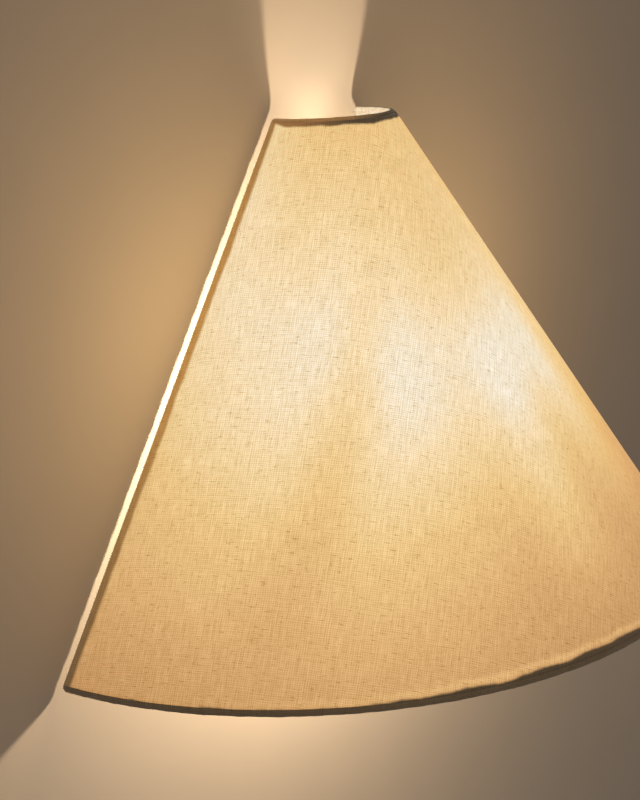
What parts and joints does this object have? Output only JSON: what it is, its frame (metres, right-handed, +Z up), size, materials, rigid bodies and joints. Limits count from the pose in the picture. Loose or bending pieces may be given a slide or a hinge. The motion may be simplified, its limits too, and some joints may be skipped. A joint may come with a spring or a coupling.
{
  "type": "fabric shade wall light",
  "caption": "Half-cone linen shade on a wire frame that hangs over a wall-mounted dish, arm, lampholder and candle bulb.",
  "frame": {"origin": "centre of the wall plate's back face, on the wall, midway between its two screw slots", "axes": "+Z up, +Y into the wall, so the light stands out towards -Y; +X to the right for someone who faces the wall"},
  "size_m": [0.3208, 0.1538, 0.2],
  "materials": {
    "linen": "natural linen, plain weave, matt",
    "liner": "off-white translucent sheet, matt",
    "frame_wire": "white dipped steel wire",
    "strap_steel": "white powder coat",
    "dish_paint": "white powder coat, satin",
    "zinc_steel": "bright zinc plate",
    "brass": "plain brass",
    "holder_plastic": "moulded heatproof plastic, white",
    "insert_ceramic": "pressed ceramic",
    "block_plastic": "translucent white moulding",
    "lead_brown": "brown insulation",
    "lead_blue": "blue insulation",
    "lead_green": "green and yellow insulation",
    "bulb_cap": "nickel-plated",
    "bulb_black": "black glass insulator",
    "bulb_glass": "clear glass",
    "filament": "phosphor-coated light strip, lit"
  },
  "bodies": {
    "fixture": {"wall_plate": "zinc_steel", "backplate_dish": "dish_paint", "dish_screws": "zinc_steel", "shade_pegs": "zinc_steel", "peg_nuts": "zinc_steel", "swan_arm": "dish_paint", "arm_lock_nut": "zinc_steel", "arm_collar": "dish_paint", "lampholder_cap": "holder_plastic", "lampholder_sleeve": "holder_plastic", "lampholder_insert": "insert_ceramic", "lampholder_shell": "brass", "centre_contact": "brass", "lampholder_terminals": "brass", "terminal_block": "block_plastic", "terminal_barrels": "brass", "terminal_screws": "zinc_steel", "live_lead": "lead_brown", "neutral_lead": "lead_blue", "earth_lead": "lead_green", "earth_lug": "zinc_steel", "earth_screw": "brass"},
    "shade": {"shade_fabric": "linen", "shade_liner": "liner", "bottom_hem": "linen", "top_hem": "linen", "left_hem": "linen", "right_hem": "linen", "bottom_ring_wire": "frame_wire", "top_ring_wire": "frame_wire", "left_side_wire": "frame_wire", "right_side_wire": "frame_wire", "shade_carrier_strap": "strap_steel"},
    "bulb_tip": {"bulb_tip_contact": "zinc_steel"},
    "bulb": {"bulb_insulator": "bulb_black", "bulb_screw_cap": "bulb_cap", "bulb_glass": "bulb_glass", "bulb_glass_stem": "bulb_glass", "bulb_filaments": "filament", "filament_supports": "zinc_steel"}
  },
  "joints": [
    {"name": "shade_lift", "type": "slide", "parent": "fixture", "child": "shade", "axis": [0, 0, 1], "range_m": [0, 0.155]},
    {"name": "bulb_rise", "type": "slide", "parent": "fixture", "child": "bulb_tip", "axis": [0, 0, 1], "range_m": [0, 0.01692]},
    {"name": "bulb_turn", "type": "hinge", "parent": "bulb_tip", "child": "bulb", "pos_m": [0, -0.052, 0.002], "axis": [0, 0, 1], "range_deg": [0, 2160]}
  ],
  "couplings": [
    {"joint": "bulb_rise", "follows": "bulb_turn", "m_per_rad": 0.00044882}
  ]
}
